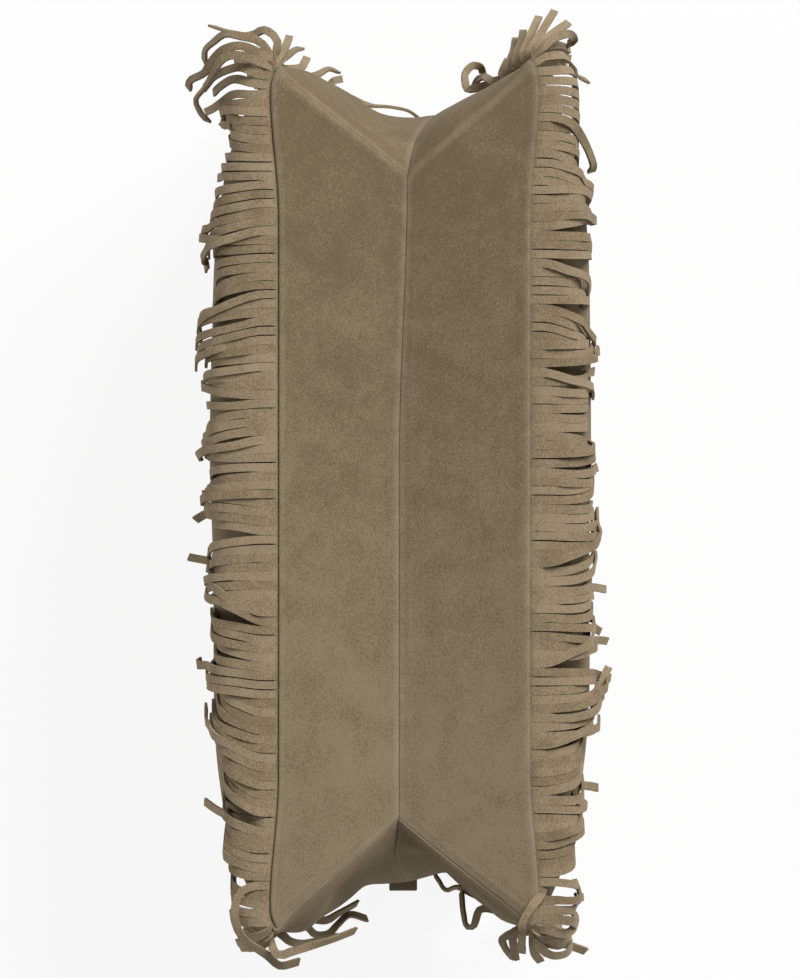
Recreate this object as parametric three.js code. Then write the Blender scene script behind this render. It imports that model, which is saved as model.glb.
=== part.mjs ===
// A suede shoulder bag with a long fringe sewn into the seam round its front and back panels.
// It stands on its mouth with its base up. Millimetres: +Z is up, +X runs along the base, and the
// front panel faces -Y. The origin is the middle of the mouth, on the surface the bag stands on.
import * as THREE from 'three';

// Body
const BASE_LENGTH = 450; // along the base, from one side seam to the other
const BASE_WIDTH = 137; // across the base, from the front seam to the back seam
const MOUTH_WIDTH = 84; // across the mouth, from the front panel to the back panel
const HEIGHT = 300; // from the mouth to the base seams
const CORNER_RADIUS = 10; // of a panel's two corners at the base
const VALLEY_DEPTH = 16; // the base's middle seam lies this much inside its edges
const MITRE_INSET = 58; // the middle seam stops this far short of the base's ends
const FOLD_INSET = 14; // a gusset's middle is folded in this far at the mouth
const MOUTH_DIP = 14; // a gusset's middle stops this far short of the mouth
const PANEL_FILL = 36; // a panel swells this far out from its seams
const FULLEST = 0.7; // height of the fullest part, as a share of the bag's height
const SUEDE = 1.6; // thickness of the body's suede
const SEAM_GAP = 0.3; // between two pieces that are sewn together

// Fringe
const FRINGE_SUEDE = 1.4; // thickness of the fringe band
const STRIP_PITCH = 4.7; // from one slit to the next
const STRIP_LENGTH = 85; // from the end of the slits to the tips
const SLIT_WIDTH = 0.4; // how far two strips stand apart
const BAND_INSIDE = 7; // seam allowance, inside the bag
const BAND_OUTSIDE = 2.5; // uncut band that shows outside the seam
const FRINGE_STOP = 76; // the fringe stops this far short of the mouth
const SIDE_LEAN = 1.4; // how much a strip of a side seam leans towards its panel

// Shoulder strap, tucked into the mouth
const STRAP_WIDTH = 16;
const STRAP_THICKNESS = 3.2; // two layers of suede
const STRAP_SEWN = 28; // length sewn flat on the gusset
const STRAP_LIFT = 26; // height of the sewn stretch above the surface
const STRAP_SLACK = 10; // how far the loop under the gusset stands out
const STRAP_FOLD = 40; // its two folds lie this far from the middle
const STRAP_FOLD_RADIUS = 5;
const STRAP_STEPS = 64;

const halfLength = BASE_LENGTH / 2;
const halfBase = BASE_WIDTH / 2;
const halfMouth = MOUTH_WIDTH / 2;
const middleEnd = halfLength - MITRE_INSET;
const foldX = halfLength - FOLD_INSET;
const FRONT = -1;
const BACK = 1;
const RIGHT = 1;
const LEFT = -1;

const suede = (color) => new THREE.MeshStandardMaterial({ color, roughness: 0.95, metalness: 0 });
const bodySuede = suede(0x7d6d55);
const fringeSuede = suede(0x8a7961);
const strapSuede = suede(0x6b5c48);

const mix = THREE.MathUtils.lerp;
const share = (from, to, steps) => Array.from({ length: steps + 1 }, (_, i) => mix(from, to, i / steps));

// How far the seam plane of a panel stands from the middle of the bag at height z.
const seamReach = (z) => mix(halfMouth, halfBase, z / HEIGHT);

// How far a panel stands out: on its seams at the edge, swelling steeply by the base and slowly by the mouth.
const BASE_SWELL = 0.7;
const MOUTH_SWELL = (BASE_SWELL * FULLEST) / (1 - FULLEST);
const swell = (u) => (1 - u) ** BASE_SWELL * u ** MOUTH_SWELL;
function panelReach(x, z) {
  const height = THREE.MathUtils.clamp(z / HEIGHT, 0, 1);
  const along = Math.min(1, Math.abs(x) / halfLength);
  return seamReach(z) + (PANEL_FILL * (1 - along ** 6) * swell(height)) / swell(FULLEST);
}

// The panel's outer face at a place, and at a depth under it.
function panelPoint(side, x, z, depth) {
  const STEP = 0.5;
  const slopeX = (panelReach(x + STEP, z) - panelReach(x - STEP, z)) / (2 * STEP);
  const slopeZ = (panelReach(x, z + STEP) - panelReach(x, z - STEP)) / (2 * STEP);
  const inward = new THREE.Vector3(slopeX, -1, slopeZ).normalize().multiplyScalar(depth);
  return new THREE.Vector3(x + inward.x, side * (panelReach(x, z) + inward.y), z + inward.z);
}

// A closed mesh whose triangles all turn the same way, turned so that they face out.
function closedGeometry(points, triangles) {
  let volume = 0;
  for (const [a, b, c] of triangles) {
    volume += points[a].dot(new THREE.Vector3().crossVectors(points[b], points[c]));
  }
  const outward = volume > 0 ? triangles : triangles.map(([a, b, c]) => [a, c, b]);
  const geometry = new THREE.BufferGeometry().setFromPoints(points);
  geometry.setIndex(outward.flat());
  geometry.computeVertexNormals();
  return geometry;
}

// A sheet of leather from two grids of points, its outer and its inner face, walled round its edge.
function sheetGeometry(outer, inner) {
  const rows = outer.length;
  const columns = outer[0].length;
  const points = [...outer.flat(), ...inner.flat()];
  const at = (row, column, face) => face * rows * columns + row * columns + column;
  const triangles = [];
  const quad = (a, b, c, d) => triangles.push([a, b, c], [a, c, d]);
  for (let r = 0; r + 1 < rows; r++) {
    for (let c = 0; c + 1 < columns; c++) {
      quad(at(r, c, 0), at(r, c + 1, 0), at(r + 1, c + 1, 0), at(r + 1, c, 0));
      quad(at(r, c, 1), at(r + 1, c, 1), at(r + 1, c + 1, 1), at(r, c + 1, 1));
    }
    quad(at(r, 0, 0), at(r + 1, 0, 0), at(r + 1, 0, 1), at(r, 0, 1));
    quad(at(r + 1, columns - 1, 0), at(r, columns - 1, 0), at(r, columns - 1, 1), at(r + 1, columns - 1, 1));
  }
  for (let c = 0; c + 1 < columns; c++) {
    quad(at(0, c + 1, 0), at(0, c, 0), at(0, c, 1), at(0, c + 1, 1));
    quad(at(rows - 1, c, 0), at(rows - 1, c + 1, 0), at(rows - 1, c + 1, 1), at(rows - 1, c, 1));
  }
  return closedGeometry(points, triangles);
}

// Places on a panel's outline: where each is, the way the outline faces there, and its end and side.
function cornerPlace(side, end, angle) {
  const x = end * (halfLength - CORNER_RADIUS + CORNER_RADIUS * Math.cos(angle));
  const z = HEIGHT - CORNER_RADIUS + CORNER_RADIUS * Math.sin(angle);
  const faces = new THREE.Vector3(end * Math.cos(angle), 0, Math.sin(angle));
  return { point: new THREE.Vector3(x, side * seamReach(z), z), faces, end, side };
}

function sidePlace(side, end, z) {
  const point = new THREE.Vector3(end * halfLength, side * seamReach(z), z);
  return { point, faces: new THREE.Vector3(end, 0, 0), end, side };
}

// The mitre seam between base and gusset starts halfway round the corner.
const mitre = cornerPlace(BACK, RIGHT, Math.PI / 4);
const isOverBase = ({ faces }) => faces.z >= mitre.faces.z - 1e-9;

// The gusset's middle seam: from the end of the base's middle seam out and down to the mouth.
// A depth moves it in, for the inner face of the suede.
function foldCurve(end, depth) {
  const lean = Math.hypot(halfBase, MITRE_INSET) / halfBase;
  const x = (value) => end * (value - depth * lean);
  const top = HEIGHT - VALLEY_DEPTH;
  const straight = mix(HEIGHT, MOUTH_DIP, 0.4);
  return new THREE.CubicBezierCurve3(
    new THREE.Vector3(x(middleEnd), 0, top - depth),
    new THREE.Vector3(x(mix(middleEnd, foldX, 0.75)), 0, mix(top, straight, 0.3)),
    new THREE.Vector3(x(foldX), 0, straight),
    new THREE.Vector3(x(foldX), 0, MOUTH_DIP),
  );
}

// The point of the middle seam that a place is joined to, across the base or across a gusset.
function middlePoint(place, depth) {
  if (isOverBase(place)) {
    const end = foldCurve(RIGHT, depth).getPointAt(0);
    return new THREE.Vector3((place.point.x * end.x) / mitre.point.x, 0, end.z);
  }
  return foldCurve(place.end, depth).getPointAt(1 - place.point.z / mitre.point.z);
}

// The seam at a place: half the angle between the panel and the base or gusset, the way out of that
// angle, and the way across it.
function seamAt(place) {
  const NEAR = 4;
  const { point, faces, side } = place;
  const inward = middlePoint(place, 0).sub(point).normalize();
  const onPanel = panelPoint(side, point.x - NEAR * faces.x, point.z - NEAR * faces.z, 0);
  const edgeways = point.clone().sub(onPanel).normalize();
  return {
    edgeways,
    half: inward.angleTo(edgeways.clone().negate()) / 2,
    out: edgeways.clone().sub(inward).normalize(),
    over: edgeways.clone().add(inward).normalize(),
  };
}

// The seam holds the fringe band with a gap on each side, so the edges of the sheets draw back.
const seamRoom = (half) => (FRINGE_SUEDE / 2 + SEAM_GAP) / Math.sin(half);

// Points across a sheet from its outer seam to its middle seam, at a depth under the outer face.
function across(place, depth, steps) {
  const { half, out } = seamAt(place);
  const outer = place.point.clone().addScaledVector(out, -depth / Math.sin(half));
  const middle = middlePoint(place, depth);
  const width = outer.distanceTo(middle);
  const stations = share(seamRoom(half) / width, 1 - SEAM_GAP / 2 / width, steps);
  return stations.map((t) => outer.clone().lerp(middle, t));
}

// A row of points at a mitre, moved towards the next row to leave the seam's gap.
function drawnBack(row, next) {
  return row.map((p, i) => p.clone().lerp(next[i], SEAM_GAP / p.distanceTo(next[i])));
}

const CORNER_STEPS = 4;
const toBase = share(Math.PI / 4, Math.PI / 2, CORNER_STEPS);
const toSide = share(Math.PI / 4, 0, CORNER_STEPS);

// Half of the base: a trapezium from the panel's seam down to the middle seam, mitred at both ends.
function baseHalf(side) {
  const STRAIGHT_STEPS = 16;
  const ACROSS_STEPS = 2;
  const right = toBase.map((angle) => cornerPlace(side, RIGHT, angle));
  const left = toBase.map((angle) => cornerPlace(side, LEFT, angle)).reverse();
  const from = right[right.length - 1];
  const closerByEnds = (t) => t - 0.12 * Math.sin(2 * Math.PI * t);
  const straight = share(0, 1, STRAIGHT_STEPS)
    .slice(1, -1)
    .map((t) => ({ ...from, point: from.point.clone().lerp(left[0].point, closerByEnds(t)) }));
  const face = (depth) => {
    const rows = [...right, ...straight, ...left].map((place) => across(place, depth, ACROSS_STEPS));
    const last = rows.length - 1;
    return [drawnBack(rows[0], rows[1]), ...rows.slice(1, last), drawnBack(rows[last], rows[last - 1])];
  };
  return sheetGeometry(face(0), face(SUEDE));
}

// Half of an end gusset: from the side seam in to the folded middle seam, and from the mitre to the mouth.
function gussetHalf(side, end) {
  const SIDE_STEPS = 8;
  const ACROSS_STEPS = 3;
  const corner = toSide.map((angle) => cornerPlace(side, end, angle));
  const heights = share(HEIGHT - CORNER_RADIUS, 0, SIDE_STEPS).slice(1);
  const places = [...corner, ...heights.map((z) => sidePlace(side, end, z))];
  const face = (depth) => {
    const rows = places.map((place) => across(place, depth, ACROSS_STEPS));
    return [drawnBack(rows[0], rows[1]), ...rows.slice(1)];
  };
  return sheetGeometry(face(0), face(SUEDE));
}

// A front or back panel, swelling out from its seams like a cushion. Each of its edges draws back from
// the seam by what the angle there asks for.
function panel(side) {
  const HEIGHT_STEPS = 12;
  const ACROSS_STEPS = 14;
  const drawBack = (place, depth) => {
    const { half, edgeways } = seamAt(place);
    return SEAM_GAP + (seamRoom(half) + depth / Math.tan(half)) * edgeways.dot(place.faces);
  };
  const topAt = (x, depth) => {
    const corner = cornerPlace(side, RIGHT, Math.PI / 2);
    const point = new THREE.Vector3(Math.min(Math.abs(x), corner.point.x), side * halfBase, HEIGHT);
    return HEIGHT - drawBack({ ...corner, point }, depth);
  };
  const reachAt = (z, depth) =>
    halfLength - drawBack(sidePlace(side, RIGHT, Math.min(z, HEIGHT - CORNER_RADIUS)), depth);
  const face = (depth) =>
    share(1, 0, HEIGHT_STEPS).map((down) =>
      share(-1, 1, ACROSS_STEPS).map((t) => {
        const eased = mix(t, Math.sin((t * Math.PI) / 2), 0.6);
        const top = topAt(halfLength * eased, depth);
        const z = top * (1 - down ** 1.7);
        const intoCorner = Math.max(0, z - top + CORNER_RADIUS);
        const rounding = CORNER_RADIUS - Math.sqrt(CORNER_RADIUS ** 2 - intoCorner ** 2);
        const x = (reachAt(z, depth) - rounding) * eased;
        if (z > 0) return panelPoint(side, x, z, depth);
        return new THREE.Vector3(x, side * (panelReach(x, 0) - depth), 0);
      }),
    );
  return sheetGeometry(face(0), face(SUEDE));
}

// The line that a fringe is sewn along: up one side seam, over the base and down the other side.
function fringeLine(side) {
  const x = halfLength - CORNER_RADIUS;
  const z = HEIGHT - CORNER_RADIUS;
  const line = new THREE.Path();
  line.moveTo(halfLength, FRINGE_STOP);
  line.lineTo(halfLength, z);
  line.absarc(x, z, CORNER_RADIUS, 0, Math.PI / 2);
  line.lineTo(-x, HEIGHT);
  line.absarc(-x, z, CORNER_RADIUS, Math.PI / 2, Math.PI);
  line.lineTo(-halfLength, FRINGE_STOP);
  const frameAt = (t) => {
    const p = line.getPointAt(t);
    const tangent = line.getTangentAt(t);
    const faces = new THREE.Vector3(tangent.y, 0, -tangent.x);
    const point = new THREE.Vector3(p.x, side * seamReach(p.y), p.y);
    const place = { point, faces, end: Math.sign(p.x), side };
    return {
      ...seamAt(place),
      point,
      faces,
      along: new THREE.Vector3(tangent.x, 0, tangent.y),
      overBase: Math.max(0, faces.z),
    };
  };
  return { frameAt, length: line.getLength() };
}

// The bends of one strip, as shares of its length and falls in degrees below level. Over the base it
// stands up, arches over and hangs. From a side seam it turns on edge and slants down with its fellows.
const OVER_BASE = [[0.23, 8], [0.34, 64], [0.43, 88]];
const FROM_SIDE = [[0.13, 25], [0.87, 66]];
const ROUND_CORNER = [[0.13, 25], [0.4, 62], [0.47, 66]];

function stripBends(overBase) {
  if (overBase < 0.01) return FROM_SIDE;
  return OVER_BASE.map(([length, fall], i) => [
    mix(ROUND_CORNER[i][0], length, overBase),
    mix(ROUND_CORNER[i][1], fall, overBase),
  ]);
}

// One fringe: a band caught in the seam, slit into strips from just outside it to its far edge.
// A slit closes to nothing at the band, so two neighbouring strips share the corner there.
function fringe(side) {
  const { frameAt, length } = fringeLine(side);
  const count = Math.round(length / STRIP_PITCH);
  const points = [];
  const triangles = [];
  const quad = (a, b, c, d) => triangles.push([a, b, c], [a, c, d]);
  const section = (centre, wide, thick) => {
    const made = [[-1, 1], [1, 1], [1, -1], [-1, -1]].map(([w, t]) =>
      points.push(centre.clone().addScaledVector(wide, w).addScaledVector(thick, t)) - 1,
    );
    return made;
  };
  // The band's four corners at each slit: inner top, outer top, outer bottom, inner bottom.
  const band = share(0, 1, count).map((t) => {
    const { point, out, over } = frameAt(t);
    const middle = point.clone().addScaledVector(out, (BAND_OUTSIDE - BAND_INSIDE) / 2);
    const half = out.clone().multiplyScalar((BAND_OUTSIDE + BAND_INSIDE) / 2);
    return section(middle, half, over.clone().multiplyScalar(FRINGE_SUEDE / 2));
  });
  quad(...band[0].slice().reverse());
  quad(...band[count]);
  for (let i = 0; i < count; i++) {
    const [here, next] = [band[i], band[i + 1]];
    quad(here[0], here[1], next[1], next[0]);
    quad(here[2], here[3], next[3], next[2]);
    quad(here[3], here[0], next[0], next[3]);
    const root = frameAt((i + 0.5) / count);
    const level = new THREE.Vector3(root.faces.x, side * mix(SIDE_LEAN, 1, root.overBase), 0).normalize();
    const hand = Math.sign(root.along.dot(root.over.clone().cross(root.out)));
    let centre = root.point.clone().addScaledVector(root.out, BAND_OUTSIDE);
    let last = [here[1], next[1], next[2], here[2]];
    for (const [lengthShare, fall] of stripBends(root.overBase)) {
      const angle = THREE.MathUtils.degToRad(fall);
      const heading = level.clone().multiplyScalar(Math.cos(angle)).setZ(-Math.sin(angle));
      const upper = level.clone().multiplyScalar(Math.sin(angle)).setZ(Math.cos(angle));
      const wide = upper.clone().cross(heading).multiplyScalar((hand * (STRIP_PITCH - SLIT_WIDTH)) / 2);
      const thick = upper.multiplyScalar(FRINGE_SUEDE / 2);
      centre = centre.clone().addScaledVector(heading, STRIP_LENGTH * lengthShare);
      const ring = section(centre, wide, thick);
      for (let k = 0; k < 4; k++) {
        const n = (k + 1) % 4;
        quad(last[k], ring[k], ring[n], last[n]);
      }
      last = ring;
    }
    quad(...last.slice().reverse());
  }
  return closedGeometry(points, triangles);
}

// The strap's route, seen from the front: sewn to the outside of one gusset, it loops under that
// gusset's edge, lies folded on itself in the mouth, and comes out under the other gusset.
function strapRoute() {
  const lie = STRAP_THICKNESS / 2 + SEAM_GAP;
  const clearOfFold = (FOLD_INSET / halfMouth) * (STRAP_WIDTH / 2);
  const sewnX = foldX + clearOfFold + STRAP_THICKNESS / 2 + 3 * SEAM_GAP;
  const loopX = sewnX + STRAP_SLACK;
  const upper = lie + 2 * STRAP_FOLD_RADIUS;
  const top = lie + 4 * STRAP_FOLD_RADIUS;
  const turn = STRAP_FOLD + STRAP_FOLD_RADIUS;
  const end = [
    [sewnX, STRAP_LIFT + STRAP_SEWN],
    [sewnX, STRAP_LIFT + STRAP_SEWN / 2],
    [sewnX, STRAP_LIFT],
    [sewnX + STRAP_SLACK * 0.7, STRAP_LIFT * 0.62],
    [loopX, STRAP_LIFT * 0.36],
    [sewnX + STRAP_SLACK * 0.7, lie + 1],
    [sewnX, lie],
    [foldX * 0.8, lie],
  ];
  const points = [
    ...end,
    [foldX * 0.4, lie],
    [0, lie],
    [-STRAP_FOLD, lie],
    [-turn, (lie + upper) / 2],
    [-STRAP_FOLD, upper],
    [0, upper],
    [STRAP_FOLD, upper],
    [turn, (upper + top) / 2],
    [STRAP_FOLD, top],
    [0, top],
    [-STRAP_FOLD, top],
    [-foldX * 0.4, top * 0.72],
    [-foldX * 0.6, top * 0.26],
    ...end.reverse().map(([x, z]) => [-x, z]),
  ];
  return new THREE.CatmullRomCurve3(points.map(([x, z]) => new THREE.Vector3(x, z, 0)), false, 'centripetal');
}

function strap() {
  const route = strapRoute();
  const line = route.getSpacedPoints(STRAP_STEPS);
  const edge = (sign) =>
    line.map((p, i) => {
      const heading = route.getTangentAt(i / STRAP_STEPS);
      const off = (sign * STRAP_THICKNESS) / 2;
      return new THREE.Vector2(p.x - heading.y * off, Math.max(SEAM_GAP, p.y + heading.x * off));
    });
  const outline = new THREE.Shape([...edge(1), ...edge(-1).reverse()]);
  const geometry = new THREE.ExtrudeGeometry(outline, { depth: STRAP_WIDTH, bevelEnabled: false });
  return geometry.rotateX(Math.PI / 2).translate(0, STRAP_WIDTH / 2, 0);
}

const bag = new THREE.Group();
function add(name, geometry, material) {
  const mesh = new THREE.Mesh(geometry, material);
  mesh.name = name;
  bag.add(mesh);
}

for (const [side, word] of [[FRONT, 'front'], [BACK, 'back']]) {
  add(`${word}_panel`, panel(side), bodySuede);
  add(`${word}_base_half`, baseHalf(side), bodySuede);
  for (const [end, hand] of [[RIGHT, 'right'], [LEFT, 'left']]) {
    add(`${word}_${hand}_gusset`, gussetHalf(side, end), bodySuede);
  }
  add(`${word}_fringe`, fringe(side), fringeSuede);
}
add('shoulder_strap', strap(), strapSuede);

export default bag;
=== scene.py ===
import math

import bpy
import numpy as np
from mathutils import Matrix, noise


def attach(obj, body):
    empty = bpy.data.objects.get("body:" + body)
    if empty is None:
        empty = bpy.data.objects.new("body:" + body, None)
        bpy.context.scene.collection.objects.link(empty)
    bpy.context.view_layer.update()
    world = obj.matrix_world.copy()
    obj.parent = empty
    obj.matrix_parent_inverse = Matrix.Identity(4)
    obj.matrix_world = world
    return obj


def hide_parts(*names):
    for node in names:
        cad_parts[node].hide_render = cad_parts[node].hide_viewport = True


# A fringed suede bag that stands on its mouth with its base up.
# Sizes are in millimetres until they reach a mesh.
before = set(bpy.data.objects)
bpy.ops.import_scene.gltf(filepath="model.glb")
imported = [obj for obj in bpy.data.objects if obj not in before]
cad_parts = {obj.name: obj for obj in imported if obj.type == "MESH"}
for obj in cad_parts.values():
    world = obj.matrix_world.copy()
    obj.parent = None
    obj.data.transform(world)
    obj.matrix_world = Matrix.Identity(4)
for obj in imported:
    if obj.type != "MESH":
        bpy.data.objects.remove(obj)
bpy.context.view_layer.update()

MM = 0.001
FRONT, BACK = -1, 1
RIGHT, LEFT = 1, -1
SIDE_WORDS = {FRONT: "front", BACK: "back"}
END_WORDS = {RIGHT: "right", LEFT: "left"}

# Body, as the frame has it
HALF_LENGTH = 226.5
HALF_BASE = 68.5
HALF_MOUTH = 42
HEIGHT = 300
CORNER_RADIUS = 7
VALLEY = 16
MIDDLE_END = 167
FOLD_X = {RIGHT: (215, 206), LEFT: (214.5, 214.5)}  # where each gusset's fold bends down, and at the mouth
MOUTH_DIP = 14
PANEL_FILL = {FRONT: 40, BACK: 42}
FULL_ALONG = 6  # the power that keeps a panel full almost to its ends
FULLEST = 0.7
BASE_SWELL = 0.7
SUEDE = 1.6
SEAM_GAP = 0.03  # from a sheet's edge to the middle of a seam without the fringe
SEAM_ROOM = 0.4  # a sheet's edge keeps this far from its seam line, for the fringe between
BASE_ROOM = {FRONT: 0.4, BACK: 1.6}  # and the base's edges this far
GUSSET_INSIDE = 0.3  # the gussets' edges lie this far inside the bag's ends
PANEL_SUNK = {FRONT: 0.5, BACK: 1.7}  # the panels' edges lie this far below the seam line
ROLL = 1.6  # radius of an edge that is turned into a seam with the fringe
MITRE_ROLL = 0.6  # and into a seam without it
TUCK = 1  # edges sewn without the fringe pass each other by this much inside the seam
WELT = 0.2  # the turned seam allowance lifts the suede this much beside a seam
ALLOWANCE = 7  # width of the turned seam allowance
WELT_EDGE = 0.7  # its step is this wide to either side
CREASED_FROM = 14  # creases reach their full depth this far from a seam
FLOOR_GAP = 0.4  # the mouth's edges keep clear of the floor
HEM = 13  # width of the turned edge at the mouth
HEM_LIFT = 0.9  # the turned edge is this much thicker
HEM_EDGE = 0.8  # its step is this wide to either side
STITCH_PITCH = 4.2  # from stitch to stitch along the hem
STITCH_LENGTH = 3.1
THREAD = 0.75  # thickness of the sewing thread
STITCH_FROM_EDGE = 10.4
STITCH_FROM_END = 7  # the row of stitches keeps this far from the side seams

# Rows of each sheet's mesh: from row to row, or how many
BASE_STEP = 4.5
GUSSET_STEPS = (6, 4.5)
GUSSET_WIDTH = 68  # taken for the rows across
PANEL_STEP = 5
PANEL_ROWS = 64
PANEL_EASE = 1.7  # the rows lie closer together towards the base
ROLL_ROWS = [0, 0.13, 0.5, 1, 1.8]  # rows across a rolled edge, as shares of its radius
WELT_ROWS = [-2, -WELT_EDGE, 0, WELT_EDGE, 2]  # and across the allowance's step

# How the bag has slumped
SLUMP_FROM = 150  # height above which it leans and sags
SKEW = 1  # the back panel has slipped this far towards the left, the front towards the right
WAIST = 4.4  # the base is drawn in along the middle of its long edges
FLARE = 1.8  # and stands out at its ends
WAIST_ENDS = (145, 212)  # the one goes over into the other between these places
SAG = 11  # the base hangs through in the middle of its length
EDGE_SAG = 0.5  # and its long edges by this share of that
CORNER_PULL = 3.5  # the base's corners are drawn in
CORNER_ALONG = (212, 226)  # more and more between these places
CORNER_UP = (262, 298)  # and these heights
MIDDLE_DRIFT = 2.4  # the middle seam lies this far towards the back at the left
DRIFT_BACK = 1.8  # and goes back by this share of it
DRIFT_ALONG = (20, 165)  # between these places

# Fringe
FRINGE_SUEDE = 1.4
STRIP_PITCH = 4.7
STRIP_LENGTH = 85
SLIT_WIDTH = 0.4
BAND_OUTSIDE = 2.5
SLIT_FROM = 0  # the slits start this far outside the seam
FRINGE_STOP = 76
BAND_SUNK = {FRONT: 2, BACK: 3.1}  # the seam lies this deep between the rolled edges
WHOLE_STRIP = BAND_OUTSIDE + STRIP_LENGTH

# Strap
STRAP_WIDTH = 16
STRAP_THICKNESS = 3.2


def smooth(low, high, x):
    """0 below low, 1 above high, eased between."""
    t = np.clip((x - low) / (high - low), 0, 1)
    return t * t * (3 - 2 * t)


def mix(a, b, t):
    return a + (b - a) * t


def unit(v):
    return v / np.maximum(np.linalg.norm(v, axis=-1, keepdims=True), 1e-9)


def ripple(p, size, start):
    """Soft random waves of about that size, the same on every run."""
    flat = (p.reshape(-1, 3) / size + start).tolist()
    return np.array([noise.noise(q) for q in flat]).reshape(p.shape[:-1])


def slump(p):
    """The lean and sag of the whole bag, shared by every piece."""
    x, y, z = np.moveaxis(np.asarray(p, float), -1, 0)
    high = smooth(SLUMP_FROM, HEIGHT, z)
    across = np.clip(y / HALF_BASE, -1, 1)
    waist = FLARE - WAIST * (1 - smooth(*WAIST_ENDS, np.abs(x)))
    pull = CORNER_PULL * smooth(*CORNER_ALONG, np.abs(x)) * smooth(*CORNER_UP, z)
    drift = MIDDLE_DRIFT * (1 - DRIFT_BACK * smooth(*DRIFT_ALONG, x))
    sag = SAG * np.cos(0.5 * np.pi * np.clip(x / HALF_LENGTH, -1, 1)) ** 2
    return np.stack(
        [
            x - SKEW * across * np.clip(z / HEIGHT, 0, 1),
            y + high * (across * waist + (1 - across**2) * drift) - across * pull,
            z - sag * high * (1 - (1 - EDGE_SAG) * across**2),
        ],
        axis=-1,
    )


def seam_reach(z):
    return mix(HALF_MOUTH, HALF_BASE, z / HEIGHT)


def swell(u):
    return (1 - u) ** BASE_SWELL * u ** (BASE_SWELL * FULLEST / (1 - FULLEST))


def panel_reach(x, z, side):
    along = np.clip(np.abs(x) / HALF_LENGTH, 0, 1)
    height = np.clip(z / HEIGHT, 0, 1)
    return seam_reach(z) + PANEL_FILL[side] * (1 - along**FULL_ALONG) * swell(height) / swell(FULLEST)


def line_lengths(points, axis):
    """Distance from the first point, along one axis of a grid of points."""
    steps = np.linalg.norm(np.diff(points, axis=axis), axis=-1)
    zero = np.zeros_like(np.take(steps, [0], axis=axis))
    return np.concatenate([zero, np.cumsum(steps, axis=axis)], axis=axis)


def sampled(at, distance, values):
    """Values that are known at some distances along a line, read off at others."""
    return np.stack([np.interp(at, distance, values[:, k]) for k in range(values.shape[1])], axis=1)


def respaced(line, count):
    """The same line with its points evenly spaced."""
    length = line_lengths(line, 0)
    return sampled(np.linspace(0, length[-1], count), length, line)


def between(a, b, start, end, t):
    """The value on the way from a at start to b at end."""
    return (a * (end - t) + b * (t - start)) / (end - start)


def spline(points, count):
    """Evenly spaced points on a smooth curve through a few chosen ones."""
    fine = 24
    knots = np.asarray(points, float)
    knots = np.vstack([2 * knots[0] - knots[1], knots, 2 * knots[-1] - knots[-2]])
    times = np.concatenate([[0], np.cumsum(np.linalg.norm(np.diff(knots, axis=0), axis=1) ** 0.5)])
    line = []
    for i in range(1, len(knots) - 2):
        t = np.linspace(times[i], times[i + 1], fine, endpoint=False)[:, None]
        near = knots[i - 1 : i + 3]
        at = times[i - 1 : i + 3]
        a = [between(near[k], near[k + 1], at[k], at[k + 1], t) for k in range(3)]
        b = [between(a[k], a[k + 1], at[k], at[k + 2], t) for k in range(2)]
        line.append(between(*b, at[1], at[2], t))
    return respaced(np.vstack([*line, knots[-2][None]]), count)


# Meshes
def new_grid(name, columns, rows):
    """A flat grid, ready to be laid in place."""
    bpy.ops.object.select_all(action="DESELECT")
    bpy.ops.mesh.primitive_grid_add(x_subdivisions=columns, y_subdivisions=rows, size=2)
    piece = bpy.context.active_object
    piece.name = piece.data.name = name
    return piece


def read(items, name, width, kind=float):
    """What a mesh keeps under a name for its vertices, edges, faces or corners, in rows of that width."""
    values = np.zeros(len(items) * width, kind)
    items.foreach_get(name, values)
    return values.reshape(-1, width)


def grid_places(piece, columns, rows):
    """Which column and row of its grid each vertex is in."""
    flat = read(piece.data.vertices, "co", 3)
    column = np.rint((flat[:, 0] + 1) / 2 * columns).astype(int)
    row = np.rint((flat[:, 1] + 1) / 2 * rows).astype(int)
    return column, row


def lay(piece, points):
    piece.data.vertices.foreach_set("co", (points * MM).ravel())
    piece.data.update()


def keep_value(piece, name, values):
    """A number for each vertex that the piece's material reads."""
    kept = piece.data.attributes.new(name, "FLOAT", "POINT")
    kept.data.foreach_set("value", np.ascontiguousarray(values))


def turn_over(piece):
    bpy.ops.object.mode_set(mode="EDIT")
    bpy.ops.mesh.select_all(action="SELECT")
    bpy.ops.mesh.flip_normals()
    bpy.ops.object.mode_set(mode="OBJECT")


def modify(piece, kind, **settings):
    modifier = piece.modifiers.new(kind.lower(), kind)
    for key, value in settings.items():
        setattr(modifier, key, value)
    bpy.ops.object.modifier_apply(modifier=modifier.name)


def finish_piece(piece, materials, nodes):
    for material in materials:
        piece.data.materials.append(material)
    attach(piece, "root")
    if nodes:
        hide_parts(*nodes)


def stations(length, step, rolls):
    """Shares of a length about one step apart, closer where an end rolls into a seam."""
    first, last = [
        np.append(np.array(ROLL_ROWS) * roll, ALLOWANCE + np.array(WELT_ROWS)) if roll else np.zeros(1)
        for roll in rolls
    ]
    last = length - last[::-1]
    steps = max(1, round((last[0] - first[-1]) / step))
    rest = np.linspace(first[-1], last[0], steps + 1)[1:-1]
    return np.concatenate([first, rest, last]) / length


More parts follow.
